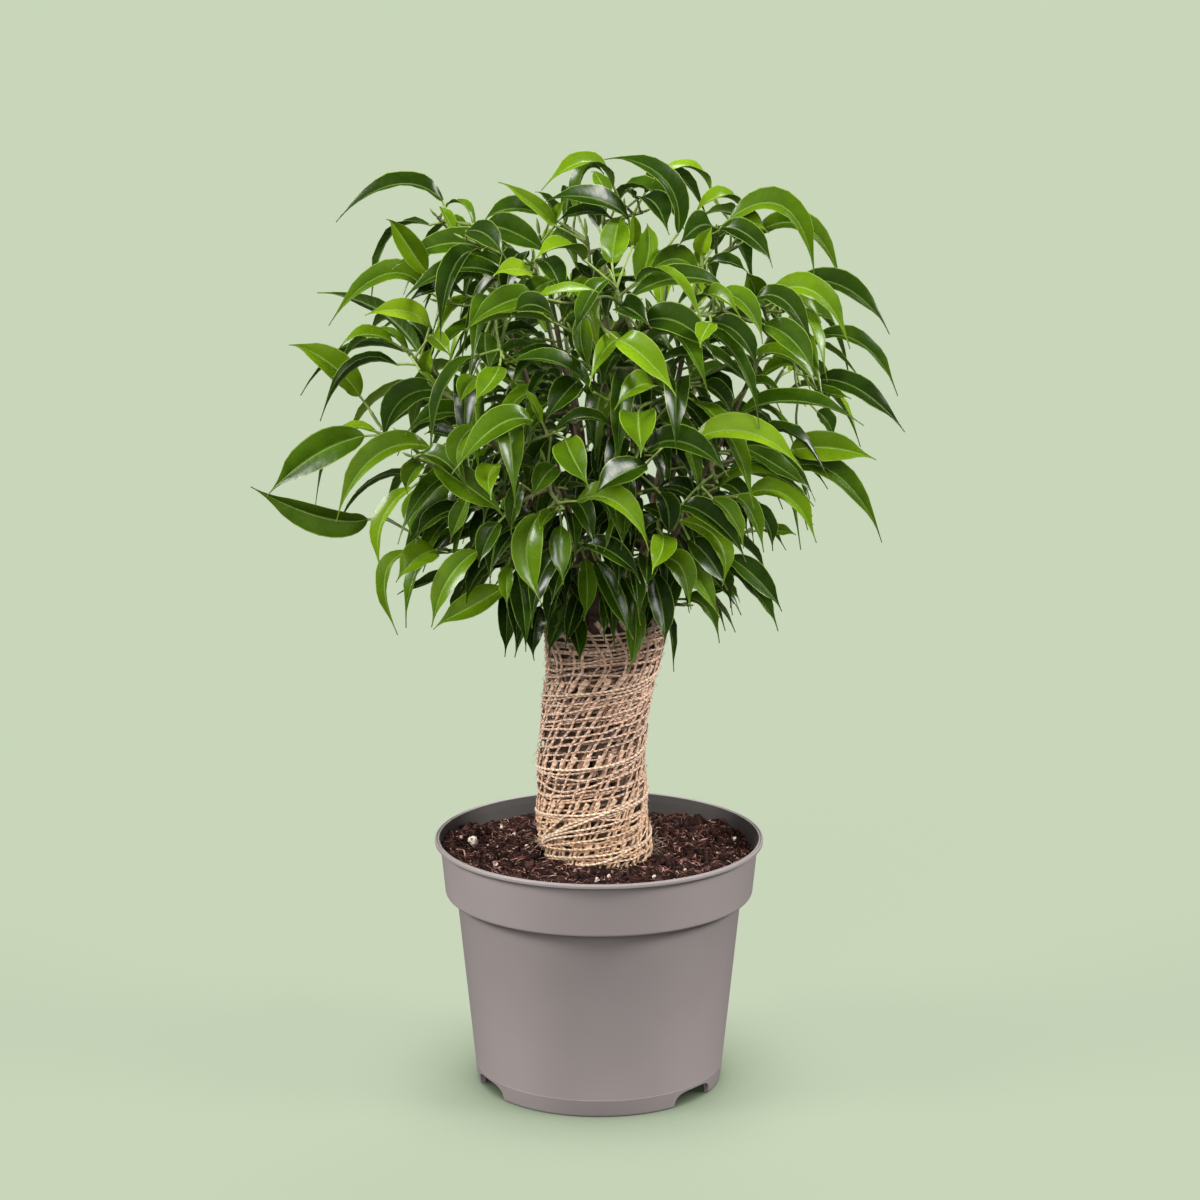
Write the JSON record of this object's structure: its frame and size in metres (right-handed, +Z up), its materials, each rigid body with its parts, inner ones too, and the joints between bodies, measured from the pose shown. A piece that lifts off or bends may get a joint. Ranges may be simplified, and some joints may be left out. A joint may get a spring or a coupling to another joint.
{
  "type": "potted weeping fig",
  "caption": "Weeping fig houseplant in a nursery pot: slim stems bundled as a trunk in jute netting, with a round crown of small arching leaves.",
  "frame": {"origin": "centre of the small flat pad in the middle of the pot's foot, on the surface that the pot rests on", "axes": "+Z up along the pot's axis, -Y towards the front of the plant as pictured, +X to its right"},
  "size_m": [0.3277, 0.2526, 0.4843],
  "materials": {
    "pot": "matt taupe grey, lightly grained",
    "soil": "moist dark peat with perlite and fibres",
    "jute_wrap": "tan jute yarn netting",
    "leafy_stem_01": "glossy green leaves on green to brown twigs",
    "leafy_stem_02": "glossy green leaves on green to brown twigs",
    "leafy_stem_03": "glossy green leaves on green to brown twigs",
    "leafy_stem_04": "glossy green leaves on green to brown twigs",
    "leafy_stem_05": "glossy green leaves on green to brown twigs",
    "leafy_stem_06": "glossy green leaves on green to brown twigs",
    "leafy_stem_07": "glossy green leaves on green to brown twigs",
    "leafy_stem_08": "glossy green leaves on green to brown twigs",
    "leafy_stem_09": "glossy green leaves on green to brown twigs",
    "leafy_stem_10": "glossy green leaves on green to brown twigs",
    "leafy_stem_11": "glossy green leaves on green to brown twigs",
    "leafy_stem_12": "glossy green leaves on green to brown twigs",
    "leafy_stem_13": "glossy green leaves on green to brown twigs",
    "leafy_stem_14": "glossy green leaves on green to brown twigs",
    "leafy_stem_15": "glossy green leaves on green to brown twigs",
    "leafy_stem_16": "glossy green leaves on green to brown twigs",
    "leafy_stem_17": "glossy green leaves on green to brown twigs",
    "leafy_stem_18": "glossy green leaves on green to brown twigs",
    "leafy_stem_19": "glossy green leaves on green to brown twigs"
  },
  "bodies": {
    "root": {"pot": "pot", "soil": "soil", "jute_wrap": "jute_wrap", "leafy_stem_01": "leafy_stem_01", "leafy_stem_02": "leafy_stem_02", "leafy_stem_03": "leafy_stem_03", "leafy_stem_04": "leafy_stem_04", "leafy_stem_05": "leafy_stem_05", "leafy_stem_06": "leafy_stem_06", "leafy_stem_07": "leafy_stem_07", "leafy_stem_08": "leafy_stem_08", "leafy_stem_09": "leafy_stem_09", "leafy_stem_10": "leafy_stem_10", "leafy_stem_11": "leafy_stem_11", "leafy_stem_12": "leafy_stem_12", "leafy_stem_13": "leafy_stem_13", "leafy_stem_14": "leafy_stem_14", "leafy_stem_15": "leafy_stem_15", "leafy_stem_16": "leafy_stem_16", "leafy_stem_17": "leafy_stem_17", "leafy_stem_18": "leafy_stem_18", "leafy_stem_19": "leafy_stem_19"}
  },
  "joints": []
}
